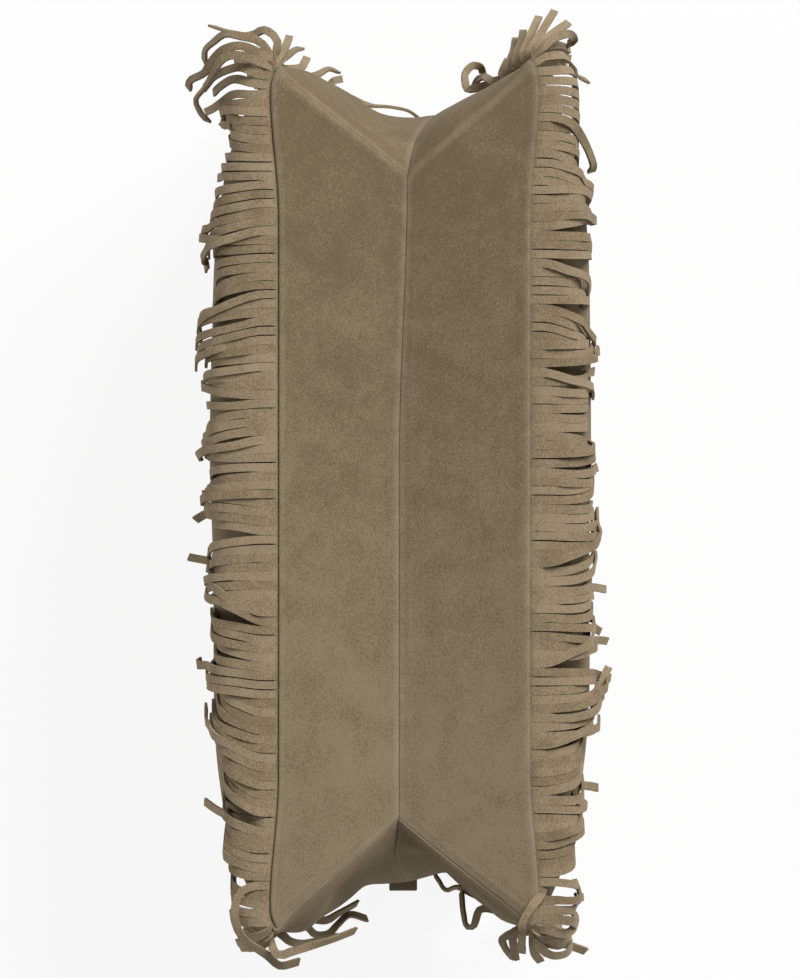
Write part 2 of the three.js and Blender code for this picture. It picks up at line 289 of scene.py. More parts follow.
def suede_sheet(name, surface, us, vs, rolls, outward, wrinkle):
    """A sheet laid on a surface, its sewn edges rolled in, creased a little, then given its thickness.

    rolls gives how the edges u=0, u=1, v=0 and v=1 turn into their seams,
    and outward is a way that the sheet faces."""
    columns = len(us) - 1
    rows = len(vs) - 1
    outward = np.array(outward, float)
    u, v = np.meshgrid(us, vs, indexing="ij")
    points = surface(u, v)
    along = line_lengths(points, 0)
    across = line_lengths(points, 1)
    edges = [along, along[-1:] - along, across, across[:, -1:] - across]
    facing = unit(np.cross(np.gradient(points, axis=0), np.gradient(points, axis=1)))
    if (facing @ outward).mean() < 0:
        facing = -facing
    raised = np.zeros(u.shape)
    nearest = np.full(u.shape, np.inf)
    for distance, roll in zip(edges, rolls):
        if roll:
            into = np.clip(roll - distance, 0, roll)
            raised = raised - (roll - np.sqrt(roll**2 - into**2))
            welt = WELT * smooth(0, roll, distance)
            welt = welt * (1 - smooth(ALLOWANCE - WELT_EDGE, ALLOWANCE + WELT_EDGE, distance))
            raised = raised + welt
            nearest = np.minimum(nearest, distance)
    raised = raised + wrinkle(points) * smooth(0, CREASED_FROM, nearest)
    shift = facing * raised[..., None]
    for axis, edge, inside, roll in zip((0, 0, 1, 1), (0, -1, 0, -1), (2, -3, 2, -3), rolls):
        if roll == MITRE_ROLL:
            turned = np.moveaxis(points, axis, 0)
            np.moveaxis(shift, axis, 0)[edge] += TUCK * unit(turned[edge] - turned[inside])
    points = slump(points + shift)
    points[..., 2] = np.maximum(points[..., 2], FLOOR_GAP)
    piece = new_grid(name, columns, rows)
    column, row = grid_places(piece, columns, rows)
    lay(piece, points[column, row])
    keep_value(piece, "from_seam", nearest[column, row])
    if (read(piece.data.polygons, "normal", 3) @ outward).mean() < 0:
        turn_over(piece)
    modify(piece, "SOLIDIFY", thickness=SUEDE * MM, offset=-1)
    modify(piece, "SUBSURF", levels=1, render_levels=1)
    bpy.ops.object.shade_smooth()
    return piece


# Camera: straight down on the base, the bag's length up the picture
PIXEL = 0.517  # millimetres at the base
PICTURE_HEIGHT = 978
CAMERA_AT = (4.1, 1.8)  # along the bag and across it
CAMERA_AWAY = 2600  # above the base
bpy.ops.object.camera_add(
    location=(CAMERA_AT[0] * MM, CAMERA_AT[1] * MM, (HEIGHT + CAMERA_AWAY) * MM),
    rotation=(0, 0, -math.pi / 2),
)
camera = bpy.context.active_object
camera.data.lens = camera.data.sensor_width * CAMERA_AWAY / (PICTURE_HEIGHT * PIXEL)
bpy.context.scene.camera = camera
bpy.context.scene.view_settings.view_transform = "Standard"


# Materials
def colour(hex_code):
    """An sRGB colour in linear light."""
    parts = [int(hex_code[i : i + 2], 16) / 255 for i in (1, 3, 5)]
    return [*(p / 12.92 if p <= 0.04045 else ((p + 0.055) / 1.055) ** 2.4 for p in parts), 1]


def add_node(tree, kind, links=(), values=(), **settings):
    """A node with its settings, its sockets' values and the links that come into it."""
    node = tree.nodes.new(kind)
    for key, value in settings.items():
        setattr(node, key, value)
    for socket, value in dict(values).items():
        node.inputs[socket].default_value = value
    for socket, source in dict(links).items():
        tree.links.new(source, node.inputs[socket])
    return node


def new_material(name):
    material = bpy.data.materials.new(name)
    material.use_nodes = True
    material.node_tree.nodes.clear()
    return material, material.node_tree


def suede(name, dark, middle, pale, worn_and_lit=None, tone=None, painted_shade_along=0):
    """Napped split leather: brushed fibres that scatter light softly, so it is matt, mottled where the nap
    lies one way or another, velvety at a glancing angle, and a little paler along a seam's edge, partly
    from wear and partly as a painted highlight. It can also carry painted shade that darkens it along the
    bag's length towards the right end. Its fibres are about 0.2 mm; they are drawn 0.9 mm across, so that
    they show."""
    nap = 0.9
    brushed = 9
    blotch = 34
    stroke_share = 0.24
    blotch_share = 0.3
    tone_share = 0.055
    material, tree = new_material(name)
    place = add_node(tree, "ShaderNodeTexCoord").outputs["Object"]
    fibres = add_node(tree, "ShaderNodeTexNoise", {"Vector": place},
                      {"Scale": 1 / (nap * MM), "Detail": 3, "Roughness": 0.65})
    strokes = add_node(tree, "ShaderNodeTexNoise", {"Vector": place},
                       {"Scale": 1 / (brushed * MM), "Detail": 4, "Roughness": 0.6, "Distortion": 0.6})
    blotches = add_node(tree, "ShaderNodeTexNoise", {"Vector": place},
                        {"Scale": 1 / (blotch * MM), "Detail": 2, "Roughness": 0.5, "Distortion": 1.2})
    fine = add_node(tree, "ShaderNodeMath", {0: strokes.outputs["Fac"], 2: fibres.outputs["Fac"]},
                    {1: stroke_share}, operation="MULTIPLY_ADD")
    shade = add_node(tree, "ShaderNodeMath", {0: blotches.outputs["Fac"], 2: fine.outputs[0]},
                     {1: blotch_share}, operation="MULTIPLY_ADD")
    # painted shade: the colour darkens along the bag's length towards its right end and pales towards its
    # left end
    if painted_shade_along:
        along = add_node(tree, "ShaderNodeSeparateXYZ", {0: place}).outputs["X"]
        shade = add_node(tree, "ShaderNodeMath", {0: along, 2: shade.outputs[0]},
                         {1: -painted_shade_along}, operation="MULTIPLY_ADD")
    if tone:
        strip = add_node(tree, "ShaderNodeAttribute", attribute_name=tone)
        shade = add_node(tree, "ShaderNodeMath", {0: strip.outputs["Fac"], 2: shade.outputs[0]},
                         {1: tone_share}, operation="MULTIPLY_ADD")
    spread = add_node(tree, "ShaderNodeMapRange", {"Value": shade.outputs[0]},
                      {"From Min": 0.64, "From Max": 0.9})
    ramp = add_node(tree, "ShaderNodeValToRGB", {"Fac": spread.outputs[0]})
    ramp.color_ramp.elements[0].color = colour(dark)
    ramp.color_ramp.elements[1].color = colour(pale)
    ramp.color_ramp.elements.new(0.5).color = colour(middle)
    tint = ramp.outputs["Color"]
    # paler along the seams: partly wear of the seam edges, partly a painted highlight where they catch the
    # light
    if worn_and_lit:
        edge = add_node(tree, "ShaderNodeAttribute", attribute_name="from_seam")
        rubbed_and_lit = add_node(tree, "ShaderNodeMapRange", {"Value": edge.outputs["Fac"]},
                          {"From Min": 0.5, "From Max": 4.5, "To Min": 0.55, "To Max": 0})
        patchy = add_node(tree, "ShaderNodeMath", {0: rubbed_and_lit.outputs[0], 1: strokes.outputs["Fac"]},
                          operation="MULTIPLY")
        wear_and_highlight_mix = add_node(tree, "ShaderNodeMix", {"Factor": patchy.outputs[0], 6: tint},
                            {7: colour(worn_and_lit)}, data_type="RGBA")
        tint = wear_and_highlight_mix.outputs[2]
    relief = add_node(tree, "ShaderNodeBump", {"Height": fine.outputs[0]},
                      {"Strength": 0.5, "Distance": 0.35 * MM})
    shader = add_node(tree, "ShaderNodeBsdfPrincipled", {"Base Color": tint, "Normal": relief.outputs[0]},
                      {"Roughness": 0.95, "Specular IOR Level": 0.15, "Sheen Weight": 0.12,
                       "Sheen Roughness": 0.45, "Sheen Tint": colour("#d9c9ae")})
    add_node(tree, "ShaderNodeOutputMaterial", {"Surface": shader.outputs[0]})
    return material


# the body suede: paler seam edges that are partly wear and partly a painted highlight, and painted shade
# along the bag's length
body_suede = suede("napped_suede", "#6f6049", "#7e6f57", "#8a7b63", worn_and_lit="#a39580", painted_shade_along=0.54)
fringe_suede = suede("fringe_suede", "#7d6c53", "#907f66", "#9d8c72", tone="strip_tone")
# a darker copy of the fringe suede for the strips' cut sides: painted shade between the strips
fringe_edge_shade = suede("cut_edge_painted_shade", "#57493a", "#675845", "#75664f", tone="strip_tone")
# the strap: a darker copy of the body suede, painted shade
strap_suede = suede("strap_suede", "#5c4e3c", "#6b5c48", "#786953")


def thread(name, dark, pale):
    """Spun polyester thread: twisted plies that show as slanting pale and dark bands 0.9 mm apart, with a
    soft low gloss."""
    twist = 0.9
    material, tree = new_material(name)
    place = add_node(tree, "ShaderNodeTexCoord").outputs["Object"]
    plies = add_node(tree, "ShaderNodeTexWave", {"Vector": place},
                     {"Scale": math.pi / (10 * twist * MM), "Distortion": 0.4}, bands_direction="DIAGONAL")
    ramp = add_node(tree, "ShaderNodeValToRGB", {"Fac": plies.outputs["Fac"]})
    ramp.color_ramp.elements[0].color = colour(dark)
    ramp.color_ramp.elements[1].color = colour(pale)
    relief = add_node(tree, "ShaderNodeBump", {"Height": plies.outputs["Fac"]},
                      {"Strength": 0.4, "Distance": 0.1 * MM})
    shader = add_node(tree, "ShaderNodeBsdfPrincipled",
                      {"Base Color": ramp.outputs["Color"], "Normal": relief.outputs[0]},
                      {"Roughness": 0.6, "Specular IOR Level": 0.35})
    add_node(tree, "ShaderNodeOutputMaterial", {"Surface": shader.outputs[0]})
    return material


sewing_thread = thread("polyester_thread", "#80725c", "#a19279")


# Light and floor
FLOOR_WHITE = 0.9  # the share of the floor that is plain white where it is seen
STUDIO_FILL = 0.31  # strength of the light from all round
LAMPS_AIM = (0, 0, 0.2)


def seen_straight(tree):
    """1 for what the camera sees straight, or in a mirror or through glass."""
    seen = add_node(tree, "ShaderNodeLightPath").outputs
    mirrored = add_node(tree, "ShaderNodeMath",
                        {0: seen["Is Glossy Ray"], 1: seen["Is Transmission Ray"]}, operation="ADD")
    either = add_node(tree, "ShaderNodeMath", {0: seen["Is Camera Ray"], 1: mirrored.outputs[0]},
                      operation="ADD", use_clamp=True)
    return either.outputs[0]


def lay_floor():
    bpy.ops.mesh.primitive_plane_add(size=8)
    floor = bpy.context.active_object
    floor.name = "floor"
    material, tree = new_material("pale_floor")
    share = add_node(tree, "ShaderNodeMath", {0: seen_straight(tree)}, {1: FLOOR_WHITE},
                     operation="MULTIPLY")
    paint = add_node(tree, "ShaderNodeBsdfDiffuse", values={"Color": colour("#f2f2f2")})
    white = add_node(tree, "ShaderNodeEmission", values={"Strength": 1})
    both = add_node(tree, "ShaderNodeMixShader",
                    {0: share.outputs[0], 1: paint.outputs[0], 2: white.outputs[0]})
    add_node(tree, "ShaderNodeOutputMaterial", {"Surface": both.outputs[0]})
    floor.data.materials.append(material)


def light_studio():
    world = bpy.data.worlds.new("studio")
    bpy.context.scene.world = world
    world.use_nodes = True
    tree = world.node_tree
    tree.nodes.clear()
    fill = add_node(tree, "ShaderNodeBackground", values={"Strength": STUDIO_FILL})
    white = add_node(tree, "ShaderNodeBackground", values={"Strength": 1})
    both = add_node(tree, "ShaderNodeMixShader",
                    {0: seen_straight(tree), 1: fill.outputs[0], 2: white.outputs[0]})
    add_node(tree, "ShaderNodeOutputWorld", {"Surface": both.outputs[0]})


def softbox(name, place, size, watts):
    bpy.ops.object.light_add(type="AREA", location=place)
    lamp = bpy.context.active_object
    lamp.name = name
    lamp.data.size = size
    lamp.data.energy = watts
    away = np.array(place) - np.array(LAMPS_AIM)
    level = math.hypot(away[0], away[1])
    lamp.rotation_euler = (math.atan2(level, away[2]), 0, math.atan2(away[1], away[0]) + math.pi / 2)


lay_floor()
light_studio()
softbox("key", place=(2.25, -1.6, 3.15), size=2.2, watts=175)
softbox("fill", place=(-0.4, 3.4, 0.7), size=1.4, watts=26)


# Base and gussets
CORNER_X = HALF_LENGTH - CORNER_RADIUS
CORNER_Z = HEIGHT - CORNER_RADIUS
MITRE_X = CORNER_X + CORNER_RADIUS * math.sqrt(0.5)
MITRE_Z = CORNER_Z + CORNER_RADIUS * math.sqrt(0.5)
BASE_SLANT = math.hypot(HALF_BASE, VALLEY)

# Soft waves in the suede: their depth, the share at which height counts, their size and the noise's start
BODY_CREASES = [(0.9, 1, 85, 3.1), (0.35, 1, 31, 7.7)]
PANEL_FOLDS = [(12, 0.45, 115, 11.3), (4.5, 0.6, 50, 5.9), (0.9, 1, 22, 2.3)]
TAUT = 0.82  # the share of the panels' folds that is lost where they are full
TAUT_UP = (140, 215)  # between these heights
HEM_FOLDS = 0.45  # and the share that is left at the mouth
HEM_FOLDS_UP = (4, 70)

# How each gusset half hangs between its side seam and the fold: shares of the way in, at even steps across
GUSSET_HANG = {
    (BACK, RIGHT): [0, 0.08, 0.46, 0.97, 1.08, 1],
    (FRONT, RIGHT): [0, 0.19, 0.4, 0.58, 0.77, 1],
    (BACK, LEFT): [0, 0, 0.34, 0.92, 0.95, 1],
    (FRONT, LEFT): [0, 0.17, 0.77, 1.33, 1.18, 1],
}
HANG_FROM = 0.16  # share of the gusset's length below which it hangs so
GUSSET_PUFF = {RIGHT: 4, LEFT: 7}  # each gusset rounds out this far just below its mitres
PUFF_AT = 0.07  # share of the gusset's length where it is fullest
# Where the folded middle of each gusset wanders, as shares of its length and millimetres
FOLD_LEAN = {
    RIGHT: ([0, 0.12, 0.4, 0.7, 1], [-0.3, -5, -19, -14, -6]),
    LEFT: ([0, 0.12, 0.4, 0.7, 1], [0.4, 3, -3, -4, -2]),
}
FOLD_BEND = 0.4  # share of the height over which the fold bends down
BEND_HANDLE = (0.75, 0.3)  # the bend's fullest place, as shares of its way out and down


def rounded(past):
    """What is left of the corner's radius at a place past where its rounding starts."""
    return np.sqrt(CORNER_RADIUS**2 - np.clip(past, 0, CORNER_RADIUS) ** 2)


def seam_height(x):
    """Height of the seam round the base, which turns down at the corners."""
    return CORNER_Z + rounded(np.abs(x) - CORNER_X)


def waves(p, table):
    return sum(depth * ripple(p * [1, 1, tall], size, start) for depth, tall, size, start in table)


def body_creases(p):
    return waves(p, BODY_CREASES)


def base_half(side):
    """Half of the base: a trapezium that slopes from a panel's seam down to the middle seam."""
    def surface(u, v):
        v = BASE_ROOM[side] / BASE_SLANT + v * (1 - (BASE_ROOM[side] + SEAM_GAP) / BASE_SLANT)
        along = 1 - 2 * u
        seam_x = MITRE_X * along
        middle_x = MIDDLE_END * along
        x = mix(seam_x, middle_x, v)
        y = side * mix(seam_reach(seam_height(seam_x)), 0, v)
        z = mix(seam_height(seam_x), HEIGHT - VALLEY, v)
        return np.stack([x, y, z], axis=-1)

    us = stations(2 * MITRE_X, BASE_STEP, (MITRE_ROLL, MITRE_ROLL))
    vs = stations(BASE_SLANT, BASE_STEP, (ROLL, MITRE_ROLL))
    rolls = (MITRE_ROLL, MITRE_ROLL, ROLL, MITRE_ROLL)
    word = SIDE_WORDS[side]
    piece = suede_sheet(f"{word}_base_suede", surface, us, vs, rolls, (0, 0, 1), body_creases)
    finish_piece(piece, [body_suede], [f"{word}_base_half"])


def fold_line(end, u):
    """The gusset's middle seam: out and down from the end of the base's middle seam, folded in."""
    top = HEIGHT - VALLEY
    straight = mix(HEIGHT, MOUTH_DIP, FOLD_BEND)
    bend, mouth = FOLD_X[end]
    a = np.array([MIDDLE_END, top])
    b = np.array([mix(MIDDLE_END, bend, BEND_HANDLE[0]), mix(top, straight, BEND_HANDLE[1])])
    c = np.array([bend, straight])
    d = np.array([mouth, MOUTH_DIP])
    t = np.linspace(0, 1, 120)[:, None]
    line = (1 - t) ** 3 * a + 3 * t * (1 - t) ** 2 * b + 3 * t**2 * (1 - t) * c + t**3 * d
    at = np.linspace(0, 1, 200)
    x, z = respaced(line, len(at)).T
    y = np.interp(u, *FOLD_LEAN[end])
    return np.stack([end * np.interp(u, at, x), y, np.interp(u, at, z)], axis=-1)


def gusset_half(side, end):
    """Half of an end gusset: from the side seam in to the folded middle, and from mitre to mouth."""
    shares = GUSSET_HANG[side, end]
    hang = spline(list(zip(np.linspace(0, 1, len(shares)), shares)), 80)

    def surface(u, v):
        z = mix(MITRE_Z, 0, u)
        x = CORNER_X + rounded(z - CORNER_Z)
        seam = np.stack([end * (x - GUSSET_INSIDE), side * (seam_reach(z) - SEAM_ROOM), z], axis=-1)
        inward = mix(v, np.interp(v, hang[:, 0], hang[:, 1]), smooth(0, HANG_FROM, u))
        points = seam + (fold_line(end, u) - seam) * np.stack([inward, v, v], axis=-1)
        puff = end * GUSSET_PUFF[end] * np.sin(np.pi * v) * u / PUFF_AT * np.exp(1 - u / PUFF_AT)
        points[..., 0] += puff
        return points

    us = stations(MITRE_Z, GUSSET_STEPS[0], (MITRE_ROLL, 0))
    vs = stations(GUSSET_WIDTH, GUSSET_STEPS[1], (ROLL, MITRE_ROLL))
    rolls = (MITRE_ROLL, 0, ROLL, MITRE_ROLL)
    word = f"{SIDE_WORDS[side]}_{END_WORDS[end]}_gusset"
    outward = (end, side * 0.4, 0.2)
    piece = suede_sheet(f"{word}_suede", surface, us, vs, rolls, outward, body_creases)
    finish_piece(piece, [body_suede], [word])


def panel(side):
    """A front or back panel, swelling out from its seams like a cushion, with a hem at the mouth."""
    def surface(u, v):
        z = (HEIGHT - PANEL_SUNK[side]) * (1 - v**PANEL_EASE)
        half = HALF_LENGTH - SEAM_ROOM - CORNER_RADIUS + rounded(z - CORNER_Z)
        x = half * (1 - 2 * u)
        return np.stack([x, side * panel_reach(x, z, side), z], axis=-1)

    def folds(p):
        z = p[..., 2]
        loose = 1 - TAUT * smooth(*TAUT_UP, z)
        hem = HEM_LIFT * (1 - smooth(HEM - HEM_EDGE, HEM + HEM_EDGE, z))
        return waves(p, PANEL_FOLDS) * loose * mix(HEM_FOLDS, 1, smooth(*HEM_FOLDS_UP, z)) + hem

    us = stations(2 * HALF_LENGTH, PANEL_STEP, (ROLL, ROLL))
    vs = np.linspace(0, 1, PANEL_ROWS)
    word = f"{SIDE_WORDS[side]}_panel"
    piece = suede_sheet(f"{word}_suede", surface, us, vs, (ROLL, ROLL, ROLL, 0), (0, side, 0), folds)
    finish_piece(piece, [body_suede], [word])
    hem_stitches(piece, side)


def hem_stitches(sheet, side):
    """A row of stitches along the turned edge at the mouth, each pressed a little into the suede."""
    count = int((2 * HALF_LENGTH - 2 * STITCH_FROM_END) / STITCH_PITCH)
    apart = 2
    outside = HALF_MOUTH + 30
    bpy.ops.object.select_all(action="DESELECT")
    bpy.ops.mesh.primitive_uv_sphere_add(segments=8, ring_count=6, radius=0.5)
    piece = bpy.context.active_object
    piece.name = piece.data.name = f"{SIDE_WORDS[side]}_hem_stitches"
    modify(piece, "ARRAY", count=count, use_relative_offset=False, use_constant_offset=True,
           constant_offset_displace=(apart, 0, 0))
    local = read(piece.data.vertices, "co", 3)
    which = np.rint(local[:, 0] / apart).astype(int)
    local[:, 0] -= apart * which
    local *= [STITCH_LENGTH, THREAD, THREAD]
    places = []
    normals = []
    for x in (np.arange(count) - (count - 1) / 2) * STITCH_PITCH:
        start = np.array([x, side * outside, STITCH_FROM_EDGE]) * MM
        _, place, normal, _ = sheet.ray_cast(start, (0, -side, 0))
        places.append(np.array(place) / MM)
        normals.append(np.array(normal))
    places = np.array(places)
    normals = unit(np.array(normals))
    along = unit(np.gradient(places, axis=0))
    up = np.cross(normals, along)
    points = places[which] + along[which] * local[:, :1] + up[which] * local[:, 1:2]
    lay(piece, points + normals[which] * local[:, 2:])
    bpy.ops.object.shade_smooth()
    finish_piece(piece, [sewing_thread], [])


# The fringe's run along its seam, and its strips
SIDE_RUN = CORNER_Z - FRINGE_STOP
CORNER_RUN = CORNER_RADIUS * math.pi / 2
BASE_RUN = 2 * CORNER_X
FRINGE_RUN = 2 * (SIDE_RUN + CORNER_RUN) + BASE_RUN
STRIPS = round(FRINGE_RUN / STRIP_PITCH)
PITCH = FRINGE_RUN / STRIPS
# Rows of the band's mesh, in millimetres from the seam
STRIP_ROWS = np.array([-7, -3.5, 0, 1, 2.5, 4.5, 7, 10, 14, 18, 21.5, 24.5, 27.5, 30.5, 33.5, 36.5,
                       40, 44, 48, 52, 56, 60, 64, 68, 72, 76, 80, 84, 87.5])
STRIP_STEP = 0.5  # the steps in which a strip is followed
BAND_ASIDE = (0.35, 0.6)  # the band's slope out of the seam: sideways, how much more over the base
BAND_UP = 0.43  # and up, over the base
CLEAR_OF_CORNER = 2  # strips this far from the corners lie on the base's long edges
DOWN = np.array([0, 0, -1.0])

# How a strip falls: millimetres from the seam, and degrees below level over the base and from a side seam
FALL_AT = [0, 2.5, 5, 8, 14, 22, 27, 32, 38, 46, 60, 88]
FALL_BASE = [-26, -24, -10, 0, 3, 9, 28, 56, 77, 86, 89, 90]
FALL_SIDE = [0, 5, 18, 36, 56, 70, 75, 78, 79, 80, 81, 82]

# Which way a strip points: millimetres past the base's corner,
# and degrees from its panel's front towards the end
POINT_AT = [-46, -20, -7, 0, 8, 16, 40, 110, 240]
POINT_TO = [0, 0, 3, 10, 26, 30, 14, 4, 4]

# How much each strip strays: the spread that neighbours share, one more than the most of them that do,
# and its own spread
STRAYING = {
    "bow": (7, 4, 2),  # degrees that it curves on, past the panel's edge
    "lean": (6, 6, 1.5),  # degrees that it leans
    "knee": (0.07, 7, 0.02),  # share by which it bends earlier
    "twist": (9, 4, 6),  # degrees that it turns on edge
    "swing": (10, 4, 5),  # degrees that it swings aside, below the corners
}
LEAN_WAVE = (3, 21)  # a slow wave in the lean along the seam: degrees and millimetres
TONE_MOST = 1.3
LENGTH_SPREAD = 0.012
FLICK = (15, 50)  # degrees that a tip stands out
CURL = (15, 50)  # and that it curls aside
CURL_TWIST = 35  # and the most that it turns on edge
HANG_STRAIGHT = 0.55  # the share of its lean that a strip loses where it hangs
OTHER_STRIP = 1e3  # put on the distance of strips that can't be meant
ON_TOP = 2  # rank of a strip that lies over all others

# Where along a strip each of these begins and is complete, in millimetres from the seam
SETS_IN = {
    "turn": (1, 15),
    "flat": (2.5, 15),
    "lift": (3, 10),
    "lean": (4, 16),
    "swing": (6, 70),
    "bow": (12, 34),
    "twist": (16, 70),
    "hang": (34, 60),
    "curl": (52, 80),
    "flick": (60, 86),
    "laid_lift": (2, 14),
    "laid_flat": (2.5, 12),
    "laid_turn": (14, 50),
}

# The slits: their widths as shares of the usual one, the shares of them that are open from the seam on
# and from further out, and how far out those and the others open
SLIT_WIDTHS = (0.3, 1.9)
OPEN_AT_SEAM = 0.42
OPEN_NEAR = 0.26
NEAR_SEAM = (4, 14)
FAR_FROM_SEAM = (14, 26)
SLIT_OPENS = 2  # over this length

# How much earlier the strips bend along each long side, where the panel under them is less full
EARLY = {
    FRONT: ([-226, -180, -150, -115, -90, -40, -10, 60, 150, 175, 205, 226],
            [0.75, 0.5, 0.24, 0.12, 0.08, 0.08, 0.1, 0.13, 0.22, 0.42, 0.75, 0.95]),
    BACK: ([-226, -205, -194, -180, -160, -140, 0, 100, 150, 165, 180, 192, 226],
           [1, 0.8, 0.55, 0.35, 0.2, 0.04, -0.06, -0.06, 0, 0.1, 0.4, 0.75, 0.6]),
}
# And the degrees that they lean, towards the right end
LEAN = {
    FRONT: ([-225, -190, -140, -60, 0, 120, 150, 178, 200, 225], [2, 5, 4, -3, -2, -8, -13, -18, -14, 0]),
    BACK: ([-225, -205, -150, -80, -20, 40, 100, 150, 190, 225], [0, 18, 20, 9, 0, -7, -9, -7, -2, 0]),
}

# And the degrees that they curve on, past the panel's edge
CURVE = {
    FRONT: ([-226, -150, -40, 20, 60], [6, 11, 12, 8, 0]),
    BACK: ([-226, 226], [0, 0]),
}

# And the share of them whose tips stand out
FLICKED = {
    FRONT: ([20, 70], [0.17, 0.03]),
    BACK: ([-226, 226], [0.035, 0.035]),
}

# Strips that stray over their neighbours: the place along the base and the lean in degrees
STRAYS = {
    FRONT: [(196, -34), (120, -22), (62, -20), (-34, 18), (-88, 26), (-128, 20)],
    BACK: [(-64, 32), (-59, 27), (138, -16), (104, -17), (30, -15), (-150, 24)],
}

# Strips laid one by one, for each panel and end: where its root is past the base's corner, how many degrees
# it turns on edge, its lift over its neighbours, the share of it that stays level, and the places that it
# passes, seen from above
LAID = {
    (BACK, RIGHT): [
        (-9, 20, 0, 0.2, [(208, 78), (208, 88), (204, 94), (201, 98), (199, 102)]),
        (-4, 10, 0.5, 0.2, [(214, 78), (216, 88), (212, 95), (209, 98)]),
        (0, 20, 1, 0.2, [(218, 74), (222, 84), (221, 90), (217, 98), (211, 103)]),
        (5, 62, 4, 0.3, [(224, 73), (228, 84), (227, 92), (220, 98), (211, 103), (205, 107),
            (199, 105), (194, 101)]),
        (9, 30, 2, 0.3, [(229, 74), (233, 84), (231, 93), (225, 99), (219, 103), (215, 110),
            (211, 111)]),
        (14, 45, 4, 0.3, [(235, 74), (238, 84), (239, 92), (235, 98), (231, 102), (225, 103)]),
        (18, 70, 5, 0.3, [(235, 65), (239, 68), (241, 72), (239, 77), (239, 85), (241, 93), (243, 99)]),
        (23, 10, 0, 0, [(231, 62), (235, 60), (238, 59)]),
        (34, 25, 0, 0, [(229, 59), (231, 56), (232, 53)]),
        (62, 10, 0, 0, [(222, 53), (225, 51), (227, 50)]),
        (150, 40, 0, 0, [(218, 45), (221, 39), (220, 34)]),
        (190, 30, 0, 0, [(212, 39), (215, 36), (216, 32)]),
        (205, 75, 0, 0, [(211, 37), (206, 27), (202.5, 17), (201.6, 7), (199.6, -2.3), (196, -8)]),
    ],
    (FRONT, RIGHT): [
        (64, 10, 0, 0, [(218, -51), (224, -53), (226, -54)]),
        (48, 15, 0, 0, [(223, -55), (231, -57), (237, -58)]),
        (36, 15, 0, 0, [(225, -58), (235, -61), (241, -62)]),
        (26, 15, 0.5, 0, [(227, -62), (237, -65), (248, -70)]),
        (20, 10, 1, 0, [(229, -65), (238, -70), (251, -78)]),
        (14, 8, 1.5, 0, [(229, -68), (237, -74), (245, -85)]),
        (8, 12, 2, 0.2, [(231, -71), (237, -78), (239, -86), (236, -88), (234, -85)]),
        (-24, 35, 2.5, 0.3, [(196, -79), (193, -87), (186, -92), (178, -96), (171, -98), (168, -97)]),
        (160, 40, 0, 0, [(211, -33), (214, -32), (219, -32), (223, -36), (222, -40), (219, -41)]),
        (130, 30, 0, 0, [(215, -46), (217, -42), (216, -39), (211, -36)]),
    ],
    (BACK, LEFT): [
        (-52, 20, 0, 0.05, [(-167, 80), (-165, 90), (-161.5, 97), (-157.5, 102.5)]),
        (-19, 25, 3, 0.3, [(-201, 77), (-204, 84), (-212, 87), (-221, 86), (-229, 82),
            (-233, 76), (-237, 70), (-242, 64), (-240, 54)]),
        (12, 40, 2, 0.3, [(-230, 68), (-235, 67), (-237, 64), (-235, 58), (-232, 48),
            (-229, 38), (-224, 25)]),
        (45, 45, 0, 0, [(-227, 62), (-230, 58), (-231, 52), (-229, 44), (-227, 35)]),
        (95, 50, 0, 0, [(-222, 50), (-226, 46), (-226, 39), (-221, 34), (-216, 28), (-218, 19)]),
        (140, 40, 0, 0, [(-219, 41), (-215, 33), (-210, 24)]),
    ],
    (FRONT, LEFT): [
        (-13, 20, 5, 0.62, [(-212, -66), (-219, -62), (-226, -61), (-235, -61)]),
        (5, 30, 1, 0.2, [(-224, -76), (-226, -83), (-224, -87), (-219, -89), (-214, -88)]),
        (10, 20, 0.5, 0.2, [(-228, -73), (-231, -80), (-230, -86)]),
        (15, 25, 1, 0.2, [(-233, -71), (-237, -77), (-236, -84), (-232, -87)]),
        (20, 10, 0, 0, [(-236, -68), (-240, -71)]),
        (32, 10, 0, 0, [(-227, -57), (-233, -57), (-239, -58)]),
        (60, 45, 0, 0, [(-227, -53), (-229, -51), (-234, -53), (-239, -57)]),
        (140, 62, 0, 0, [(-213, -40), (-222, -36), (-222, -33), (-215, -31), (-204, -30)]),
        (185, 62, 0, 0, [(-202, -28), (-203, -22), (-198, -18), (-195, -16)]),
    ],
}


def seam_places(along):
    """Where the fringe is sewn, by the distance along it: x, z, how far past the base's corner, the end,
    and the angle that the seam has turned round the corner."""
    from_middle = along - FRINGE_RUN / 2
    end = np.where(from_middle < 0, RIGHT, LEFT)
    past = np.abs(from_middle) - BASE_RUN / 2
    angle = np.clip(past / CORNER_RADIUS, 0, math.pi / 2)
    x = end * (np.minimum(np.abs(from_middle), BASE_RUN / 2) + CORNER_RADIUS * np.sin(angle))
    z = CORNER_Z + CORNER_RADIUS * np.cos(angle) - np.maximum(0, past - CORNER_RUN)
    return x, z, past, end, angle


def seam_frame(along, side):
    """The seam's points, the way the band stands out of it, its upper face and its run."""
    x, z, _, end, angle = seam_places(along)
    point = np.stack([x, side * seam_reach(z), z], axis=-1)
    point[..., 0] -= BAND_SUNK[side] * end * np.sin(angle)
    point[..., 2] -= BAND_SUNK[side] * np.cos(angle)
    aside = side * (BAND_ASIDE[0] + BAND_ASIDE[1] * np.cos(angle))
    out = unit(np.stack([end * np.sin(angle), aside, BAND_UP * np.cos(angle)], axis=-1))
    run = np.stack([-np.cos(angle), 0 * x, end * np.sin(angle)], axis=-1)
    over = unit(-side * np.cross(run, out))
    return point, out, over, run


